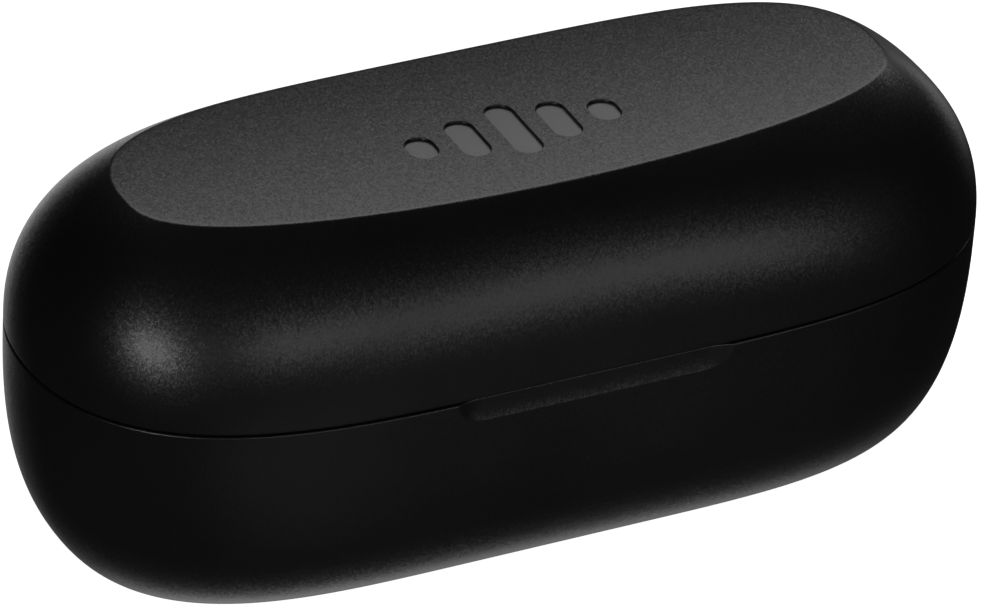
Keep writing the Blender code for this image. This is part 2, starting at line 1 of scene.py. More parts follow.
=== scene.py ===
"""Looks of the wireless earbuds charging case: fine meshes for the shells, cradle, liner,
hinge pin, contacts and port, and materials for every piece. Form functions are in
millimetres, with z counted from the plane where lid and base meet."""

import json
import math

import bmesh
import bpy
import numpy as np
from mathutils import Matrix, Vector


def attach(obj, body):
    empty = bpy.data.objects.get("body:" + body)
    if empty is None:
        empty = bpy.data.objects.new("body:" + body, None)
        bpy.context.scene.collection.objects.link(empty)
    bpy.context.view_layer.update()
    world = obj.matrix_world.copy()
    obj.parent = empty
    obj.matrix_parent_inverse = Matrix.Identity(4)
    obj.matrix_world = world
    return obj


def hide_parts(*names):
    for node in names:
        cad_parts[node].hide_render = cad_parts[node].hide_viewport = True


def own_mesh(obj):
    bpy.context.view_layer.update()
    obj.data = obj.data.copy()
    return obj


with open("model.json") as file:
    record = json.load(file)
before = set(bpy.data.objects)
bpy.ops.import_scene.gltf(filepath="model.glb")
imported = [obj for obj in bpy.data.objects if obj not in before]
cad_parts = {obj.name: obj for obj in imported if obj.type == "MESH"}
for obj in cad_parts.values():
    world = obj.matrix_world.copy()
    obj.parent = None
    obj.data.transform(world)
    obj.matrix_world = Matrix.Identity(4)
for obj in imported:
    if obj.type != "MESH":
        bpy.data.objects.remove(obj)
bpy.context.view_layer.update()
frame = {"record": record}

MM = 0.001

# The form, as the CAD has it
HALF_LENGTH, HALF_WIDTH = 40.0, 17.3
PARTING = 20.15
LID_RISE = 13.1
WALL = 1.8
SEAM_PLAN = (0.09, 3.78, 2.18)
FACET_FRONT_PLAN = (0.0, 1.95, 2.82)
FACET_REAR_PLAN = (0.0, 4.36, 2.54)
FACET_BLEND = 1.3
FOOT_PLAN = (0.20, 3.78, 2.18)
LID_LENGTH_CURVE = (19.55, 2.30)
LID_WIDTH_CURVE = (16.0, 2.05)
FOOT_HALF = (29.2, 6.3)
BASE_POWERS = (2.57, 2.78)
HINGE_Y = HALF_WIDTH - 1.1
KNUCKLE_R = 1.1
LID_KNUCKLE_END = 7.7
BASE_KNUCKLE = (8.0, 12.0)
KNUCKLE_GAP = 0.15
PIN_HOLE_R = 0.46
BEVEL_TAN = math.tan(math.radians(48.5))
SWING_ROOM = 1.35
NOTCH_R, NOTCH_STRAIGHT, NOTCH_Z = 2.25, 9.5, 0.3
NOTCH_DEPTH = 0.5
CRADLE_TOP = -0.35
PLATE = 1.4
LINER_BOTTOM, LINER_PLATE = 0.4, 1.2
POCKET_X, POCKET_RX, POCKET_RY, POCKET_DEPTH = 19.5, 12.4, 11.2, 11.0
POCKET_SKIN = 1.1
POCKET_FLOOR_SHARE = 0.62
WELL_X, WELL_Y, WELL_R, WELL_DEPTH = 14.2, -4.6, 5.2, 14.4
RECESS_HEIGHT, RECESS_SHARE = 8.2, 0.84
POCKET_FLOOR = CRADLE_TOP - POCKET_DEPTH
CONTACT_X, CONTACT_Y, CONTACT_TRAVEL = (22.4, 26.0), 3.2, 0.8
PORT_Z = 5.75 - PARTING
PORT_HALF = (4.47, 1.58)
PORT_Y = (7.0, 14.3)
PIPE_Y, PIPE_HALF = -8.1, (2.5, 0.8)
BOSSES = ((-22.0, -6.2), (22.0, -6.2), (-10.5, 6.8), (10.5, 6.8))

# Fine detail that only the looks have
SEAM = 0.07             # each rim stops this far from the parting plane
NEAR_ROWS_END = 3.2     # depth below the parting plane where the base's close rows end
RIM_ROUND = 0.2
FACET_ROUND = 0.16
MARK_DEPTH = 0.26
MARK_PLACE = (-0.3, -1.9)
MARK_BARS = ((-7.8, 3.0), (-3.9, 5.2), (0.0, 7.3), (3.9, 5.2), (7.8, 3.0))
MARK_BAR_HALF = 1.15

# Camera: azimuth, elevation and roll in degrees, focal length in millimetres on a 36 mm
# sensor, and distance, shift right and shift up in half lengths of the case
CAMERA_ANGLES = (-28.034, 32.613, 3.545)
CAMERA_LENS = 292.942
CAMERA_PLACE = (15.4787, -0.0117, -0.0842)

# Studio: soft patches of backdrop, each with its direction and its brightness by closeness
# to that direction, and each light's name, place, the point it faces, size and brightness
ROOM = 0.006
BACKDROPS = (
    ((0.18, 0.93, -0.32), ((0.86, 0.0), (0.93, 0.15), (0.97, 0.6), (1.0, 1.1))),
    ((0.22, 0.36, -0.90), ((0.86, 0.0), (0.93, 0.13), (0.965, 0.45), (1.0, 0.95))),
    ((0.81, 0.57, -0.10), ((0.95, 0.0), (0.98, 0.15), (1.0, 0.8))),
    ((0.08, -0.88, -0.45), ((0.86, 0.0), (0.94, 0.08), (1.0, 0.16))),
)
LIGHTS = (
    ("rear_card", (0.05, 0.036, 0.082), (0.05, 0.0, 0.041), (0.18, 0.034), 2.1),
    ("right_soft", (0.26, -0.48, 0.20), (0.0, 0.0, 0.033), (0.24, 0.20), 1.65),
    ("front_soft", (-0.01, -0.56, 0.32), (0.0, 0.0, 0.033), (0.24, 0.16), 2.4),
    ("left_spot", (-0.36, -0.28, 0.20), (0.0, 0.0, 0.033), (0.15, 0.12), 8.0),
)


# Meshes

def mesh_object(name, verts, faces):
    """An object from millimetre points whose z counts from the parting plane."""
    points = np.asarray(verts, float).copy()
    points[:, 2] += PARTING
    mesh = bpy.data.meshes.new(name)
    mesh.from_pydata((points * MM).tolist(), [], faces)
    bm = bmesh.new()
    bm.from_mesh(mesh)
    bmesh.ops.recalc_face_normals(bm, faces=bm.faces)
    bm.to_mesh(mesh)
    bm.free()
    obj = bpy.data.objects.new(name, mesh)
    bpy.context.scene.collection.objects.link(obj)
    return obj


def loft(name, rings):
    """A closed surface through rings of points, capped flat at both ends. A ring of one
    point closes with a fan."""
    verts, faces, starts = [], [], []
    for ring in rings:
        starts.append(len(verts))
        verts.extend(np.asarray(ring, float).reshape(-1, 3).tolist())
    for a in range(len(rings) - 1):
        low, high = starts[a], starts[a + 1]
        low_n, high_n = len(rings[a]), len(rings[a + 1])
        for i in range(max(low_n, high_n)):
            j = (i + 1) % max(low_n, high_n)
            if high_n == 1:
                faces.append((low + i, low + j, high))
            elif low_n == 1:
                faces.append((low, high + j, high + i))
            else:
                faces.append((low + i, low + j, high + j, high + i))
    for a in (0, len(rings) - 1):
        if len(rings[a]) > 1:
            faces.append(tuple(range(starts[a], starts[a] + len(rings[a]))))
    return mesh_object(name, verts, faces)


def smooth(obj, degrees=30.0):
    obj.data.shade_smooth()
    obj.data.set_sharp_from_angle(angle=math.radians(degrees))


def apply_modifiers(obj):
    graph = bpy.context.evaluated_depsgraph_get()
    mesh = bpy.data.meshes.new_from_object(obj.evaluated_get(graph))
    old = obj.data
    obj.modifiers.clear()
    obj.data = mesh
    bpy.data.meshes.remove(old)


def boolean(obj, operation, *others):
    for other in others:
        modifier = obj.modifiers.new("shape", "BOOLEAN")
        modifier.operation = operation
        modifier.solver = "MANIFOLD"
        modifier.object = other
        apply_modifiers(obj)
        mesh = other.data
        bpy.data.objects.remove(other)
        bpy.data.meshes.remove(mesh)


def circle(x, y, z, radius, sides=48):
    turns = np.linspace(0, 2 * np.pi, sides, endpoint=False)
    return np.stack([x + radius * np.cos(turns), y + radius * np.sin(turns),
                     np.full(sides, float(z))], 1)


def turned(name, x, y, profile, sides=48):
    return loft(name, [circle(x, y, z, r, sides) if r else np.array([[x, y, z]])
                       for r, z in profile])


def along_x(name, y, z, profile, sides=48):
    """A solid of revolution about a line along X. The profile is (radius, x)."""
    rings = []
    for r, x in profile:
        if r:
            ring = circle(y, z, x, r, sides)
            rings.append(ring[:, [2, 0, 1]])
        else:
            rings.append(np.array([[x, y, z]]))
    return loft(name, rings)


def box(name, x, y, z):
    corners = [(x[0], y[0]), (x[1], y[0]), (x[1], y[1]), (x[0], y[1])]
    return loft(name, [[(a, b, level) for a, b in corners] for level in z])


def slot_outline(half_x, half_y, corner, steps=10):
    points = []
    for quarter, (sx, sy) in enumerate(((1, 1), (-1, 1), (-1, -1), (1, -1))):
        for step in range(steps + 1):
            turn = math.pi / 2 * (quarter + step / steps)
            points.append((sx * (half_x - corner) + corner * math.cos(turn),
                           sy * (half_y - corner) + corner * math.sin(turn)))
    return np.array(points)


# The outer form

def plan_xy(places, plan, half_length, half_width):
    straight, end_power, side_power = plan
    share, angle = places
    cosine = np.clip(np.cos(angle), 0, 1)
    sine = np.clip(np.sin(angle), 0, 1)
    return (half_length * (share * straight + (1 - straight) * cosine ** (2 / end_power)),
            half_width * sine ** (2 / side_power))


def quarter_places():
    """Places along a quarter of the outline, close together along the front's middle where
    the thumb notch and the hinge are, and further apart towards the ends."""
    count = 6000
    share = np.concatenate([np.linspace(0, 1, count, endpoint=False), np.ones(count + 1)])
    angle = np.concatenate([np.full(count, np.pi / 2), np.pi / 2 * (1 - np.linspace(0, 1, count + 1))])
    x, y = plan_xy((share, angle), SEAM_PLAN, HALF_LENGTH, HALF_WIDTH)
    run = np.concatenate([[0], np.cumsum(np.hypot(np.diff(x), np.diff(y)))])
    wanted = np.concatenate([np.arange(0, 13.6, 0.22), np.linspace(13.6, run[-1], 78)])
    index = np.searchsorted(run, wanted).clip(0, len(run) - 1)
    index[-1] = len(run) - 1
    return share[index], angle[index]


QUARTER = quarter_places()


def all_round(rear, front=None):
    """One ring from a rear and a front quarter, each given as x, y and z. One quarter alone
    serves for both."""
    rear, front = (np.stack([x, y, np.broadcast_to(z, x.shape)], 1)
                   for x, y, z in (rear, front or rear))
    flips = ((rear[:-1], 1, 1), (front[::-1][:-1], 1, -1), (front[:-1], -1, -1),
             (rear[::-1][:-1], -1, 1))
    return np.concatenate([part * (sx, sy, 1) for part, sx, sy in flips])


def mixed(first, second, share):
    return tuple(a + (b - a) * share for a, b in zip(first, second))


def closing(share, power):
    return np.maximum(0.0, 1.0 - np.clip(share, 0, 1) ** power) ** (1.0 / power)


def lid_ring(height, inset):
    """The lid's outline at a height above the parting plane."""
    length_h, length_power = LID_LENGTH_CURVE
    width_h, width_power = LID_WIDTH_CURVE
    quarters = []
    for top_plan in (FACET_REAR_PLAN, FACET_FRONT_PLAN):
        plan = mixed(SEAM_PLAN, top_plan, min(1.0, height / LID_RISE) ** FACET_BLEND)
        x, y = plan_xy(QUARTER, plan,
                       (HALF_LENGTH - inset) * closing(height / (length_h - inset), length_power),
                       (HALF_WIDTH - inset) * closing(height / (width_h - inset), width_power))
        quarters.append((x, y, height))
    return all_round(*quarters)


def rim_rounding(inset, outward):
    """(inset, height) pairs round a rim's edge, from the flat rim to the wall."""
    for step in range(6):
        turn = math.pi / 2 * step / 5
        yield inset + outward * RIM_ROUND * (1 - math.sin(turn)), SEAM + RIM_ROUND * (1 - math.cos(turn))


def lid_rings(inset, outward, rows, corner):
    rings = [lid_ring(h, i) for i, h in rim_rounding(inset, outward)]
    top = LID_RISE - inset
    low = top - corner * 0.62
    start = SEAM + RIM_ROUND
    rings += [lid_ring(start + (low - start) * row / rows, inset) for row in range(1, rows + 1)]
    below, edge = rings[-1], lid_ring(top, inset)
    reach = np.hypot(edge[:, 0], edge[:, 1])[:, None]
    above = edge * (1 - corner / reach)
    above[:, 2] = top
    for step in range(1, 7):
        w = step / 6
        rings.append((1 - w) ** 2 * below + 2 * w * (1 - w) * edge + w * w * above)
    for share in (0.97, 0.9, 0.75):
        rings.append(above * (share, share, 1))
    return rings


def notch_push(ring):
    """Moves front points in to the thumb notch's dished floor."""
    x, y, z = ring.T
    along = np.maximum(0, np.abs(x) - NOTCH_STRAIGHT)
    share = np.clip(np.hypot(along, z - NOTCH_Z) / NOTCH_R, 0, 1)
    moved = ring.copy()
    moved[:, 1] = np.where(y < -10, y + NOTCH_DEPTH * (1 - share ** 1.8), y)
    return moved


def base_ring(depth, inset):
    full = PARTING - inset
    plan = mixed(SEAM_PLAN, FOOT_PLAN, np.clip(depth / full, 0, 1) ** 2)
    foot_length, foot_width = (value - inset / 2 for value in FOOT_HALF)
    x, y = plan_xy(
        QUARTER, plan,
        foot_length + (HALF_LENGTH - inset - foot_length) * closing(depth / full, BASE_POWERS[0]),
        foot_width + (HALF_WIDTH - inset - foot_width) * closing(depth / full, BASE_POWERS[1]))
    return all_round((x, y, -depth))


def base_rings(inset, outward, depths):
    return [base_ring(h, i) for i, h in rim_rounding(inset, outward)] + [
        base_ring(depth, inset) for depth in depths]


def shell_rings(outer, inner):
    return outer[::-1] + inner


# Shells

def wedge(name, side, end):
    """The bevel behind the hinge, on the lid (side 1) or the base (side -1), at one end."""
    reach = 4.0
    start = side * SEAM
    corners = [(HINGE_Y, start - side), (HINGE_Y, start),
               (HINGE_Y + reach, start + side * reach * BEVEL_TAN), (HINGE_Y + reach, start - side)]
    return loft(name, [[(x, y, z) for y, z in corners]
                       for x in (end * (BASE_KNUCKLE[1] + 0.12), end * 30.0)])


def window(name, start, end):
    """Room for the other shell's knuckles to turn in."""
    depth = KNUCKLE_R + 0.35
    return box(name, (start, end), (HINGE_Y - SWING_ROOM, HALF_WIDTH + 2), (-depth, depth))


def knuckle(name, start, end, radius):
    soft = 0.12
    ends = sorted((start, end))
    return along_x(name, HINGE_Y, 0.0, [(radius - soft, ends[0]), (radius, ends[0] + soft),
                                        (radius, ends[1] - soft), (radius - soft, ends[1])])


def pin_hole(half):
    return along_x("cut", HINGE_Y, 0.0, [(PIN_HOLE_R, -half), (PIN_HOLE_R, half)], 32)


def port_outline(grow, y):
    outline = slot_outline(PORT_HALF[0] + grow, PORT_HALF[1] + grow, PORT_HALF[1] + grow - 0.02)
    return np.stack([outline[:, 0], np.full(len(outline), y), PORT_Z + outline[:, 1]], 1)


def make_base_shell():
    # Rows lie closest together along the thumb notch's lower edge
    near = np.concatenate([np.arange(start, end, step) for start, end, step in
                           ((0.38, 1.5, 0.14), (1.5, 2.1, 0.045), (2.14, NEAR_ROWS_END, 0.12))])
    deep = PARTING * np.sin(np.linspace(math.asin(NEAR_ROWS_END / PARTING), math.pi / 2, 44))
    outer = [notch_push(ring) for ring in base_rings(0.0, 1, np.concatenate([near, deep]))]
    inner = base_rings(WALL, -1, (PARTING - WALL) * np.sin(np.linspace(0.05, math.pi / 2, 16)))
    shell = loft("case_base", shell_rings(outer, inner))
    boolean(shell, "DIFFERENCE", window("cut", -LID_KNUCKLE_END - KNUCKLE_GAP, LID_KNUCKLE_END + KNUCKLE_GAP),
            wedge("cut", -1, -1), wedge("cut", -1, 1))
    for side in (-1, 1):
        boolean(shell, "UNION", knuckle("add", side * BASE_KNUCKLE[0], side * BASE_KNUCKLE[1], KNUCKLE_R))
    boolean(shell, "DIFFERENCE", pin_hole(BASE_KNUCKLE[1] - 0.1))
    rings = [port_outline(0.3, PORT_Y[1] - 3), port_outline(0.3, HALF_WIDTH + 2)]
    boolean(shell, "DIFFERENCE", loft("cut", rings))
    for x, y in BOSSES:
        boolean(shell, "UNION", turned("add", x, y, [(1.7, 1.2 - PARTING), (1.7, 2.7 - PARTING)], 32))
        boolean(shell, "DIFFERENCE", turned("cut", x, y, [(0.7, 1.3 - PARTING), (0.7, 4 - PARTING)], 24))
    smooth(shell, 32)
    return shell


def mark_bar(x, half_height):
    """One bar of the mark: a cutter with a rounded lip."""
    rings = []
    for grow, rise in ((0.30, 0.6), (0.16, 0.06), (0.07, 0.0), (0.02, -0.05), (0.0, -0.1),
                       (0.0, 0.04 - MARK_DEPTH), (-0.04, -MARK_DEPTH)):
        half, height = MARK_BAR_HALF + grow, half_height + grow
        outline = slot_outline(half, height, half - 0.01 if half < height else half_height, 12)
        rings.append(np.stack([outline[:, 0] + MARK_PLACE[0] + x, outline[:, 1] + MARK_PLACE[1],
                               np.full(len(outline), LID_RISE + rise)], 1))
    return loft("cut", rings)


def make_lid_shell():
    shell = loft("case_lid", shell_rings(lid_rings(0.0, 1, 46, FACET_ROUND),
                                         lid_rings(WALL, -1, 14, 0.5)))
    for side in (-1, 1):
        ends = sorted((side * LID_KNUCKLE_END, side * (BASE_KNUCKLE[1] + KNUCKLE_GAP)))
        boolean(shell, "DIFFERENCE", window("cut", *ends), wedge("cut", 1, side))
    boolean(shell, "UNION", knuckle("add", -LID_KNUCKLE_END, LID_KNUCKLE_END, KNUCKLE_R))
    boolean(shell, "DIFFERENCE", pin_hole(LID_KNUCKLE_END + 0.2))
    boolean(shell, "DIFFERENCE", *[mark_bar(x, height / 2) for x, height in MARK_BARS])
    smooth(shell, 32)
    return shell


# Cradle and liner

def pocket_ring(side, share, z, grow, size, sides=96):
    size *= POCKET_FLOOR_SHARE + (1 - POCKET_FLOOR_SHARE) * share
    turns = np.linspace(0, 2 * np.pi, sides, endpoint=False)
    a, b = np.cos(turns), np.sin(turns)
    power = 2 / 2.3
    return np.stack([
        side * POCKET_X + (POCKET_RX * size + grow) * np.sign(a) * np.abs(a) ** power,
        (POCKET_RY * size + grow) * np.sign(b) * np.abs(b) ** power,
        np.full(sides, float(z))], 1)


def pocket(name, side, mouth, floor, grow, beyond, lip=0.0, size=1.0):
    """The oval hollow from mouth to floor, with a lip that rounds the mouth outward and a
    soft corner at the floor."""
    way = math.copysign(1, floor - mouth)
    rings = []
    if beyond:
        rings.append(pocket_ring(side, 1.0, mouth - way * beyond, grow + lip, size))
    for step in range(7 if lip else 0):
        turn = math.pi / 2 * step / 6
        rings.append(pocket_ring(side, 1.0, mouth + way * lip * math.sin(turn),
                                 grow + lip * (1 - math.sin(turn)) ** 2, size))
    start = mouth + way * lip
    levels = 22
    for level in range(1 if lip else 0, levels + 1):
        depth = math.sin(math.pi / 2 * level / levels)
        z = start + (floor - start) * depth
        share = abs(z - mouth) / abs(floor - mouth)
        rings.append(pocket_ring(side, float(closing(min(share, 1.0), 2.6)), z, grow, size))
    return loft(name, rings)


def well(name, side, top, bottom, grow):
    radius = WELL_R + grow
    profile = [(radius, top)]
    for step in range(9):
        turn = math.pi / 2 * step / 8
        profile.append((radius - 1.9 * (1 - math.cos(turn)), bottom + 1.9 * (1 - math.sin(turn))))
    return turned(name, side * WELL_X, WELL_Y, profile, 72)


def relief(z):
    half = BASE_KNUCKLE[1] + 0.8
    return box("cut", (-half, half), (HINGE_Y - SWING_ROOM - 0.3, HALF_WIDTH), z)


def plate_rings(section, levels, inset):
    """A plate's rings with both its edges rounded a little."""
    soft = 0.18
    low, high = levels
    return [section(z, inset + extra) for z, extra in
            ((low, soft), (low + soft * 0.3, soft * 0.3), (low + soft, 0.0), (high - soft, 0.0),
             (high - soft * 0.3, soft * 0.3), (high, soft))]


def make_cradle():
    cradle = loft("cradle_tray", plate_rings(lambda z, i: base_ring(-z, i),
                                             (CRADLE_TOP - PLATE, CRADLE_TOP), WALL + 0.3))
    for side in (-1, 1):
        boolean(cradle, "UNION",
                pocket("add", side, CRADLE_TOP - PLATE / 2, POCKET_FLOOR - POCKET_SKIN, POCKET_SKIN, 0),
                well("add", side, CRADLE_TOP - POCKET_DEPTH / 2, CRADLE_TOP - WELL_DEPTH - POCKET_SKIN,
                     POCKET_SKIN))
    contact_hole = [(radius, POCKET_FLOOR + z) for radius, z in
                    ((0.85, -3), (0.85, -0.12), (1.05, 0.02), (1.1, 1))]
    for side in (-1, 1):
        boolean(cradle, "DIFFERENCE",
                pocket("cut", side, CRADLE_TOP, POCKET_FLOOR, 0.0, 1.0, 0.55),
                well("cut", side, CRADLE_TOP - POCKET_DEPTH / 2 + 1, CRADLE_TOP - WELL_DEPTH, 0.0),
                *[turned("cut", side * x, CONTACT_Y, contact_hole, 32) for x in CONTACT_X])
    outline = slot_outline(PIPE_HALF[0] + 0.1, PIPE_HALF[1] + 0.1, PIPE_HALF[1] + 0.09)
    through = (CRADLE_TOP - 3, CRADLE_TOP + 1)
    boolean(cradle, "DIFFERENCE",
            loft("cut", [[(a, PIPE_Y + b, z) for a, b in outline] for z in through]),
            relief(through))
    smooth(cradle, 35)
    return cradle


def make_liner():
    liner = loft("lid_lining", plate_rings(lid_ring, (LINER_BOTTOM, LINER_BOTTOM + LINER_PLATE),
                                           WALL + 0.3))
    roof = LINER_BOTTOM + RECESS_HEIGHT
    for side in (-1, 1):
        boolean(liner, "UNION", pocket("add", side, LINER_BOTTOM + LINER_PLATE / 2, roof + POCKET_SKIN,
                                       POCKET_SKIN, 0, size=RECESS_SHARE))
    for side in (-1, 1):
        boolean(liner, "DIFFERENCE", pocket("cut", side, LINER_BOTTOM, roof, 0.0, 1.0, 0.5, RECESS_SHARE))
    boolean(liner, "DIFFERENCE", relief((LINER_BOTTOM - 1, LINER_BOTTOM + 3)))
    smooth(liner, 35)
    return liner


# Small metal pieces

def make_pin():
    pin = along_x("hinge_rod", HINGE_Y, 0.0, [(0.28, -11.6), (0.36, -11.55), (0.4, -11.45), (0.4, 11.45),
                                              (0.36, 11.55), (0.28, 11.6)], 48)
    smooth(pin)
    return pin


def make_plunger(name, x):
    """A round-nosed contact pin with its collar."""
    nose = [(0.4 * math.cos(t), 0.55 + 0.35 * math.sin(t)) for t in np.linspace(0, math.pi / 2, 9)[:-1]]
    profile = [(0.45, -0.85), (0.5, -0.8), (0.5, -0.4), (0.47, -0.36), (0.4, -0.36), (0.4, 0.2)]
    profile += nose + [(0, 0.9)]
    plunger = turned(name, x, CONTACT_Y, [(r, POCKET_FLOOR + z) for r, z in profile], 32)
    smooth(plunger)
    return plunger


def make_port():
    """The steel sleeve with a rolled mouth, and the tongue with its blade; the contact strips are made in
    make_port_contacts.
    """
    back, mouth = PORT_Y
    skin = 0.3
    rings = [port_outline(grow, y) for grow, y in
             ((-skin, back + 0.3), (0.0, back + 0.3), (0.0, mouth - 0.12), (-0.04, mouth - 0.04),
              (-0.1, mouth), (-skin + 0.1, mouth), (-skin + 0.02, mouth - 0.05),
              (-skin, mouth - 0.15))]
    count = len(rings[0])
    verts = np.concatenate(rings)
    faces = []
    for a in range(len(rings)):
        b = (a + 1) % len(rings)
        for i in range(count):
            j = (i + 1) % count
            faces.append((a * count + i, a * count + j, b * count + j, b * count + i))
    sleeve = mesh_object("usb_sleeve", verts, faces)
    smooth(sleeve, 40)

    inset = -(skin + 0.12)
    tongue = loft("usb_tongue", [port_outline(inset, back), port_outline(inset, back + 2.2)])
    blade = []
    for y, shrink in ((back + 1, 0.0), (mouth - 1.0, 0.0), (mouth - 0.8, 0.12)):
        outline = slot_outline(3.3 - shrink, 0.35 - shrink, 0.1, 3)
        blade.append([(a, y, PORT_Z + b) for a, b in outline])
    boolean(tongue, "UNION", loft("add", blade))
    smooth(tongue, 40)
    return sleeve, tongue


# The faces of a box whose corners count up along its last direction first
BOX_FACES = ((0, 1, 3, 2), (4, 6, 7, 5), (0, 4, 5, 1), (2, 3, 7, 6), (0, 2, 6, 4), (1, 5, 7, 3))


def make_port_contacts():
    """Gold strips on both faces of the tongue, as one mesh."""
    verts, faces = [], []
    for face in (-1, 1):
        for index in range(12):
            x = (index - 5.5) * 0.5
            z = PORT_Z + face * 0.36
            start = len(verts)
            for y in (PORT_Y[0] + 2.4, PORT_Y[1] - (1.15 if index in (0, 3, 8, 11) else 1.6)):
                for dx in (-0.13, 0.13):
                    for dz in (-0.03, 0.03):
                        verts.append((x + dx, y, z + dz))
            for quad in BOX_FACES:
                faces.append(tuple(start + corner for corner in quad))
    return mesh_object("usb_contact_strips", verts, faces)


# Materials

class Nodes:
    """Short ways to add shader nodes to one material."""

    def __init__(self, name):
        self.material = bpy.data.materials.new(name)
        self.material.use_nodes = True
        self.tree = self.material.node_tree
        self.shader = self.tree.nodes["Principled BSDF"]
        self.place = self.add("ShaderNodeTexCoord").outputs["Object"]

    def add(self, kind, **values):
        node = self.tree.nodes.new(kind)
        for key, value in values.items():
            if key in node.inputs:
                node.inputs[key].default_value = value
            else:
                setattr(node, key, value)
        return node

    def link(self, source, target):
        self.tree.links.new(source, target)

    def noise(self, size_mm, detail=3.0, rough=0.5):
        node = self.add("ShaderNodeTexNoise", Scale=1000.0 / size_mm, Detail=detail, Roughness=rough)
        self.link(self.place, node.inputs["Vector"])
        return node.outputs["Fac"]

    def ramp(self, source, stops):
        node = self.add("ShaderNodeValToRGB")
        elements = node.color_ramp.elements
        for index, (position, value) in enumerate(stops):
            element = elements[index] if index < len(elements) else elements.new(position)
            element.position = position
            element.color = (*value, 1.0) if isinstance(value, tuple) else (value, value, value, 1.0)
        self.link(source, node.inputs["Fac"])
        return node.outputs["Color"]

    def span(self, source, low, high):
        node = self.add("ShaderNodeMapRange")
        node.inputs["To Min"].default_value = low
        node.inputs["To Max"].default_value = high
        self.link(source, node.inputs["Value"])
        return node.outputs["Result"]

    def bump(self, source, strength, depth_mm, below=None):
        node = self.add("ShaderNodeBump", Strength=strength, Distance=depth_mm * MM)
        self.link(source, node.inputs["Height"])
        if below:
            self.link(below, node.inputs["Normal"])
        return node.outputs["Normal"]

    def set(self, **values):
        for key, value in values.items():
            self.shader.inputs[key.replace("_", " ")].default_value = value

    def to(self, **sources):
        for key, source in sources.items():
            self.link(source, self.shader.inputs[key.replace("_", " ")])


def satin_plastic(name, colour, roughness, spread, grain_mm, lean, ior=1.5):
    """Moulded plastic with a fine spark-eroded texture, whose grains each lean their own way."""
    n = Nodes(name)
    n.set(IOR=ior)
    grain = n.noise(grain_mm, 2.0, 0.6)
    cloud = n.noise(14.0, 2.0)
    cells = n.add("ShaderNodeTexVoronoi", Scale=1000.0 / grain_mm)
    n.link(n.place, cells.inputs["Vector"])
    centred = n.add("ShaderNodeVectorMath", operation="SUBTRACT")
    centred.inputs[1].default_value = (0.5, 0.5, 0.5)
    n.link(cells.outputs["Color"], centred.inputs[0])
    leaning = n.add("ShaderNodeVectorMath", operation="MULTIPLY_ADD")
    leaning.inputs[1].default_value = (lean, lean, lean)
    n.link(centred.outputs["Vector"], leaning.inputs[0])
    n.link(n.bump(grain, 0.3, grain_mm * 0.1), leaning.inputs[2])
    level = n.add("ShaderNodeVectorMath", operation="NORMALIZE")
    n.link(leaning.outputs["Vector"], level.inputs[0])
    dark, light = (tuple(c * k for c in colour) for k in (0.8, 1.25))
    n.to(Base_Color=n.ramp(cloud, ((0.3, dark), (0.7, light))),
         Roughness=n.span(grain, roughness - spread, roughness + spread),
         Normal=level.outputs["Vector"])
    return n.material


def metal(name, colour, roughness, streak_mm=(0.4, 8.0), depth=0.002):
    """Bare or plated metal, with faint drawn streaks."""
    n = Nodes(name)
    n.set(Metallic=1.0)
    stretch = n.add("ShaderNodeMapping")
    stretch.inputs["Scale"].default_value = (1.0 / streak_mm[1], 1.0 / streak_mm[0], 1.0 / streak_mm[0])
    n.link(n.place, stretch.inputs["Vector"])
    streak = n.add("ShaderNodeTexNoise", Scale=1000.0, Detail=3.0)
    n.link(stretch.outputs["Vector"], streak.inputs["Vector"])
    cloud = n.noise(1.7, 3.0)
    tint = tuple(min(1.0, c * 1.06) for c in colour)
    n.to(Base_Color=n.ramp(cloud, ((0.35, tuple(c * 0.9 for c in colour)), (0.65, tint))),
         Roughness=n.span(streak.outputs["Fac"], roughness * 0.75, roughness * 1.35),
         Normal=n.bump(streak.outputs["Fac"], 0.4, depth))
    return n.material


def board_finish(name):
    """Solder mask with faint copper tracks under it."""
    n = Nodes(name)
    n.set(Coat_Weight=0.35, Coat_Roughness=0.15)
    tracks = n.add("ShaderNodeTexVoronoi", feature="DISTANCE_TO_EDGE", distance="MANHATTAN", Scale=620.0)
    n.link(n.place, tracks.inputs["Vector"])
    lines = n.ramp(tracks.outputs["Distance"], ((0.02, (0.03, 0.21, 0.08)), (0.09, (0.008, 0.085, 0.035))))
    n.to(Base_Color=lines, Roughness=n.span(n.noise(0.5), 0.32, 0.46),
         Normal=n.bump(tracks.outputs["Distance"], 0.3, 0.03))
    return n.material


def soft_finish(name, colour, roughness, size_mm, depth):
    """Foam, ferrite, film or insulation: a mottled colour with small pits or waves."""
    n = Nodes(name)
    mottle = n.noise(size_mm, 4.0, 0.6)
    dark, light = (tuple(min(1, c * k) for c in colour) for k in (0.7, 1.2))
    n.to(Base_Color=n.ramp(mottle, ((0.3, dark), (0.7, light))),
         Roughness=n.span(mottle, roughness - 0.06, roughness + 0.06),
         Normal=n.bump(mottle, 0.6, depth))
    return n.material


def pipe_finish():
    n = Nodes("pipe_clear_finish")
    n.set(IOR=1.49, Transmission_Weight=0.35, Roughness=0.3)
    cloud = n.noise(0.6)
    n.to(Base_Color=n.ramp(cloud, ((0.3, (0.62, 0.66, 0.68)), (0.7, (0.82, 0.84, 0.85)))),
         Normal=n.bump(cloud, 0.2, 0.01))
    return n.material


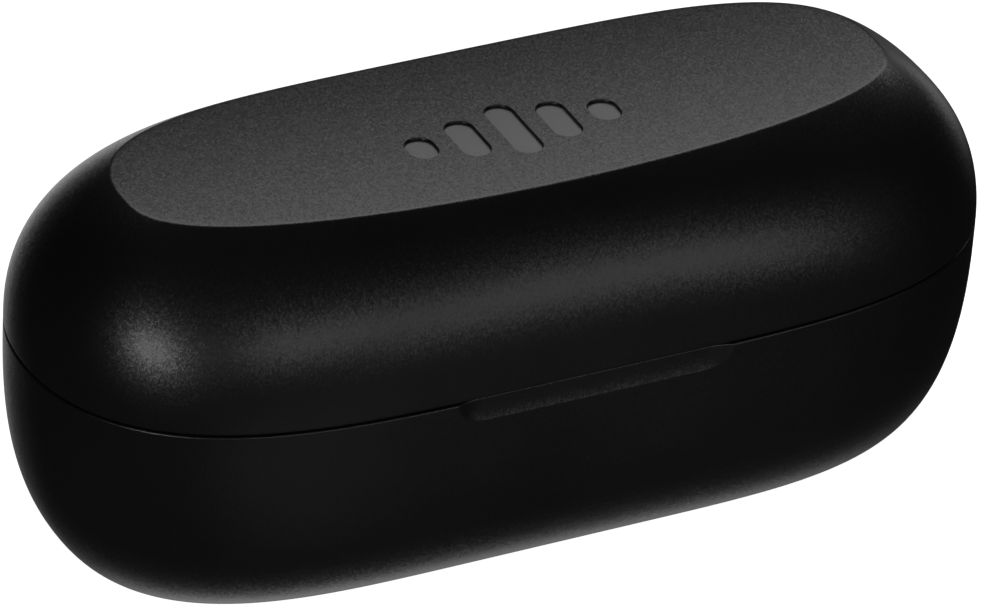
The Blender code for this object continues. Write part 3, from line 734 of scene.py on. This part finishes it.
def make_finishes():
    return {
        "case_black": satin_plastic("case_black_finish", (0.003, 0.003, 0.0032),
                                    0.335, 0.08, 0.125, 0.09),
        "cradle_black": satin_plastic("cradle_black_finish", (0.009, 0.009, 0.0095),
                                      0.42, 0.06, 0.15, 0.12),
        "steel": metal("steel_finish", (0.62, 0.62, 0.64), 0.26),
        "gold_plate": metal("gold_plate_finish", (0.9, 0.66, 0.3), 0.2),
        "magnet_nickel": metal("magnet_nickel_finish", (0.68, 0.66, 0.62), 0.22),
        "board_green": board_finish("board_green_finish"),
        "flex_amber": soft_finish("flex_amber_finish", (0.42, 0.18, 0.03), 0.32, 1.2, 0.01),
        "chip_black": soft_finish("chip_black_finish", (0.02, 0.02, 0.022), 0.5, 0.12, 0.01),
        "ferrite_grey": soft_finish("ferrite_grey_finish", (0.12, 0.12, 0.125), 0.62, 0.2, 0.02),
        "led_white": soft_finish("led_white_finish", (0.82, 0.82, 0.76), 0.3, 0.5, 0.005),
        "pipe_clear": pipe_finish(),
        "cell_foil": metal("cell_foil_finish", (0.64, 0.65, 0.67), 0.34, (1.5, 2.5), 0.03),
        "foam_black": soft_finish("foam_black_finish", (0.03, 0.03, 0.03), 0.9, 0.3, 0.08),
        "wire_red": soft_finish("wire_red_finish", (0.5, 0.02, 0.02), 0.4, 0.8, 0.01),
        "wire_black": soft_finish("wire_black_finish", (0.02, 0.02, 0.02), 0.4, 0.8, 0.01),
    }


def mark_sheen_material():
    """The floor of the mark: its own IOR and roughness, and a base colour far lighter than the case's, which
    is painted sheen standing in for the floor's reflection.
    """
    return satin_plastic("mark_floor_finish_and_sheen", (0.05, 0.05, 0.052), 0.42, 0.02, 0.12, 0.02, 1.7)


def paint_mark(lid, material):
    """Gives the flat floors of the mark's bars their own finish, whose lighter colour is painted sheen."""
    lid.data.materials.append(material)
    slot = len(lid.data.materials) - 1
    for face in lid.data.polygons:
        x, y, z = (value / MM for value in face.center)
        depth = LID_RISE - (z - PARTING)
        if abs(depth - MARK_DEPTH) < 0.03 and abs(x) < 12 and abs(y) < 6 and face.normal.z > 0.9:
            face.material_index = slot


# Staging

def place_camera():
    azimuth, elevation, roll = map(math.radians, CAMERA_ANGLES)
    distance, shift_right, shift_up = (HALF_LENGTH * MM * value for value in CAMERA_PLACE)
    back = Vector((math.sin(azimuth) * math.cos(elevation), -math.cos(azimuth) * math.cos(elevation),
                   math.sin(elevation)))
    right = Vector((math.cos(azimuth), math.sin(azimuth), 0))
    up = back.cross(right)
    right, up = (math.cos(roll) * right + math.sin(roll) * up,
                 -math.sin(roll) * right + math.cos(roll) * up)
    data = bpy.data.cameras.new("camera")
    data.sensor_width = 36.0
    data.lens = CAMERA_LENS
    data.clip_start, data.clip_end = 0.01, 30
    camera = bpy.data.objects.new("camera", data)
    place = Vector((0, 0, PARTING * MM)) + back * distance + right * shift_right + up * shift_up
    camera.matrix_world = Matrix.Translation(place) @ Matrix((right, up, back)).transposed().to_4x4()
    bpy.context.scene.collection.objects.link(camera)
    bpy.context.scene.camera = camera


def area_light(name, place, target, size, brightness):
    data = bpy.data.lights.new(name, "AREA")
    data.shape = "RECTANGLE"
    data.size, data.size_y = size
    data.energy = brightness * math.pi * size[0] * size[1]
    light = bpy.data.objects.new(name, data)
    light.location = place
    light.rotation_euler = (Vector(target) - Vector(place)).to_track_quat("-Z", "Y").to_euler()
    light.visible_camera = False
    bpy.context.scene.collection.objects.link(light)


def make_floor():
    bm = bmesh.new()
    bmesh.ops.create_grid(bm, x_segments=2, y_segments=2, size=4.0)
    mesh = bpy.data.meshes.new("floor")
    bm.to_mesh(mesh)
    bm.free()
    floor = bpy.data.objects.new("floor", mesh)
    bpy.context.scene.collection.objects.link(floor)
    material = bpy.data.materials.new("floor_white")
    material.use_nodes = True
    shader = material.node_tree.nodes["Principled BSDF"]
    shader.inputs["Base Color"].default_value = (0.9, 0.9, 0.9, 1)
    shader.inputs["Roughness"].default_value = 0.9
    shader.inputs["Specular IOR Level"].default_value = 0.0
    shader.inputs["Emission Color"].default_value = (1, 1, 1, 1)
    shader.inputs["Emission Strength"].default_value = 0.95
    mesh.materials.append(material)
    floor.visible_glossy = False


def make_world():
    """White to the eye. In reflections it is a dark room with soft patches of lit backdrop."""
    world = bpy.data.worlds.new("studio")
    bpy.context.scene.world = world
    world.use_nodes = True
    tree = world.node_tree
    room = tree.nodes["Background"]
    coord = tree.nodes.new("ShaderNodeTexCoord")
    total = None
    for direction, fade in BACKDROPS:
        toward = tree.nodes.new("ShaderNodeVectorMath")
        toward.operation = "DOT_PRODUCT"
        toward.inputs[1].default_value = Vector(direction).normalized()
        tree.links.new(coord.outputs["Generated"], toward.inputs[0])
        ramp = tree.nodes.new("ShaderNodeValToRGB")
        elements = ramp.color_ramp.elements
        for index, (position, value) in enumerate(fade):
            element = elements[index] if index < 2 else elements.new(position)
            element.position = position
            element.color = (value, value, value, 1)
        tree.links.new(toward.outputs["Value"], ramp.inputs["Fac"])
        add = tree.nodes.new("ShaderNodeVectorMath")
        tree.links.new(ramp.outputs["Color"], add.inputs[0])
        if total:
            tree.links.new(total, add.inputs[1])
        else:
            add.inputs[1].default_value = (ROOM, ROOM, ROOM)
        total = add.outputs["Vector"]
    tree.links.new(total, room.inputs["Color"])
    white = tree.nodes.new("ShaderNodeBackground")
    white.inputs["Color"].default_value = (1, 1, 1, 1)
    path = tree.nodes.new("ShaderNodeLightPath")
    mix = tree.nodes.new("ShaderNodeMixShader")
    tree.links.new(path.outputs["Is Camera Ray"], mix.inputs[0])
    tree.links.new(room.outputs[0], mix.inputs[1])
    tree.links.new(white.outputs[0], mix.inputs[2])
    tree.links.new(mix.outputs[0], tree.nodes["World Output"].inputs["Surface"])


def shorten_spring(name):
    """Gives the spring its own copy of its mesh and reads its lowest and highest points; it does not shorten
    the spring.
    """
    spring = bpy.data.objects[name]
    corners = [spring.matrix_world @ Vector(corner) for corner in spring.bound_box]
    low, high = (pick(corner.z for corner in corners) for pick in (min, max))
    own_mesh(spring)


def main():
    finishes = make_finishes()
    plans = [(make_base_shell(), "base", "case_black", ("base_shell",)),
             (make_lid_shell(), "lid", "case_black", ("lid_shell",)),
             (make_cradle(), "base", "cradle_black", ("cradle",)),
             (make_liner(), "lid", "cradle_black", ("lid_liner",)),
             (make_pin(), "base", "steel", ("hinge_pin",))]
    sleeve, tongue = make_port()
    plans += [(sleeve, "base", "steel", ("port_sleeve",)),
              (tongue, "base", "chip_black", ("port_tongue",)),
              (make_port_contacts(), "base", "gold_plate", ())]
    for side, side_name in ((-1, "left"), (1, "right")):
        for x, place in zip(CONTACT_X, ("inner", "outer")):
            node = f"contact_plunger_{side_name}_{place}"
            plans.append((make_plunger(f"pin_{side_name}_{place}", side * x), node, "gold_plate", (node,)))
    for piece, body, slot, nodes in plans:
        piece.data.materials.clear()
        piece.data.materials.append(finishes[slot])
        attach(piece, body)
        if nodes:
            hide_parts(*nodes)
    # The mark's floors get the lighter colour of painted sheen
    paint_mark(bpy.data.objects["case_lid"], mark_sheen_material())

    for side_name in ("left", "right"):
        for place in ("inner", "outer"):
            shorten_spring(f"contact_spring_{side_name}_{place}")

    for part in frame["record"]["subparts"]:
        obj = bpy.data.objects.get(part["node"])
        if obj:
            for slot in obj.material_slots:
                slot.material = finishes[part["material_slot"]]

    place_camera()
    make_world()
    make_floor()
    for light in LIGHTS:
        area_light(*light)
    bpy.context.scene.view_settings.view_transform = "Standard"


main()
